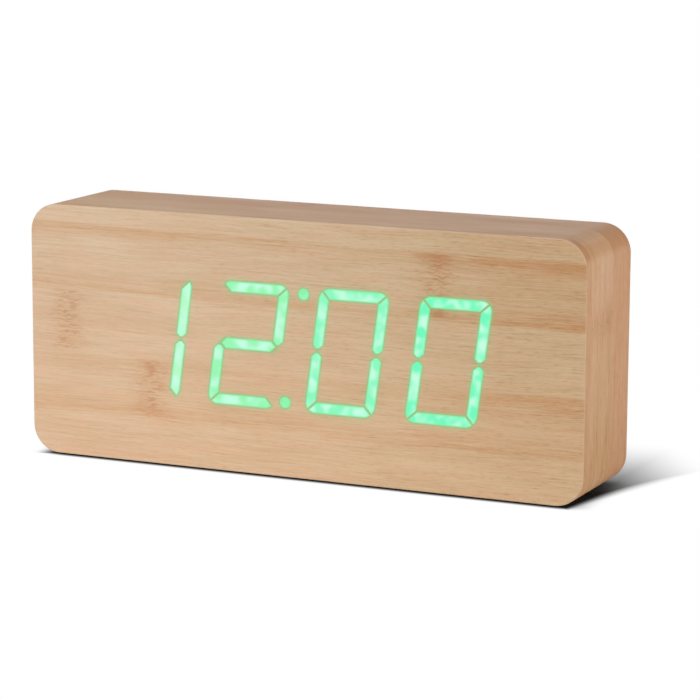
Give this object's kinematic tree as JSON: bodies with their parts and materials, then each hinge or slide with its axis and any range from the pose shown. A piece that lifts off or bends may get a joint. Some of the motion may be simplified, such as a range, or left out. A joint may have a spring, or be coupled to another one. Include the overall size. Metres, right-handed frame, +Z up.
{
  "type": "digital alarm clock",
  "caption": "Slab-shaped table alarm clock in bamboo veneer; lit seven-segment time shows through the front.",
  "frame": {"origin": "on the table under the middle of the clock, level with the underside of its rest pads", "axes": "+X to the right as the time is read, +Y from the front to the back, +Z up"},
  "size_m": [0.21, 0.044, 0.091],
  "materials": {
    "bamboo_face": "satin",
    "bamboo_edge": "satin",
    "fibreboard": "matte",
    "light": "glowing",
    "white_plastic": "matte",
    "black_plastic": "fine spark texture",
    "key_plastic": "satin",
    "circuit_board": "lacquered",
    "component_plastic": "matte",
    "capacitor_sleeve": "gloss",
    "steel": "zinc plated",
    "tinned": "bright",
    "cell_sleeve": "satin",
    "pad_rubber": "matte",
    "plunger_plastic": "matte",
    "ribbon_jacket": "matte",
    "red_jacket": "satin",
    "black_jacket": "satin"
  },
  "bodies": {
    "clock": {"front_veneer": "bamboo_face", "edge_veneer": "bamboo_edge", "case_core": "fibreboard", "back_board": "fibreboard", "back_veneer": "bamboo_face", "back_screws": "steel", "pad_front_left": "pad_rubber", "pad_front_right": "pad_rubber", "pad_back_left": "pad_rubber", "pad_back_right": "pad_rubber", "hour_tens_digit": "light", "hour_units_digit": "light", "colon_dots": "light", "minute_tens_digit": "light", "minute_units_digit": "light", "diffuser_sheet": "white_plastic", "reflector": "white_plastic", "display_board": "circuit_board", "led_chips": "white_plastic", "display_screws": "steel", "clock_chip": "component_plastic", "driver_chips": "component_plastic", "crystal": "tinned", "buzzer": "component_plastic", "backup_cell_holder": "component_plastic", "backup_cell": "tinned", "capacitors": "capacitor_sleeve", "ribbon_headers": "white_plastic", "ribbon_cable": "ribbon_jacket", "control_plate": "black_plastic", "control_board": "circuit_board", "control_board_screws": "steel", "switch_bodies": "component_plastic", "power_inlet": "black_plastic", "inlet_pin": "tinned", "microphone": "tinned", "battery_frame": "black_plastic", "frame_screws": "steel", "contact_plates": "tinned", "contact_springs": "steel", "cell_1": "cell_sleeve", "cell_2": "cell_sleeve", "cell_3": "cell_sleeve", "cell_4": "cell_sleeve", "red_lead": "red_jacket", "black_lead": "black_jacket"},
    "set_key": {"set_button": "key_plastic", "set_plunger": "plunger_plastic"},
    "up_key": {"up_button": "key_plastic", "up_plunger": "plunger_plastic"},
    "down_key": {"down_button": "key_plastic", "down_plunger": "plunger_plastic"},
    "door": {"battery_door": "black_plastic", "door_latch": "black_plastic"}
  },
  "joints": [
    {"name": "set_press", "type": "slide", "parent": "clock", "child": "set_key", "axis": [0, -1, 0], "range_m": [0, 0.0005], "stiffness_N_per_m": 800, "springref_m": -0.0004},
    {"name": "up_press", "type": "slide", "parent": "clock", "child": "up_key", "axis": [0, -1, 0], "range_m": [0, 0.0005], "stiffness_N_per_m": 800, "springref_m": -0.0004},
    {"name": "down_press", "type": "slide", "parent": "clock", "child": "down_key", "axis": [0, -1, 0], "range_m": [0, 0.0005], "stiffness_N_per_m": 800, "springref_m": -0.0004},
    {"name": "door_hinge", "type": "hinge", "parent": "clock", "child": "door", "pos_m": [0.04606, 0.0202, 0.0242], "axis": [-1, 0, 0], "range_deg": [0, 90], "deforming": ["door_latch"]}
  ]
}
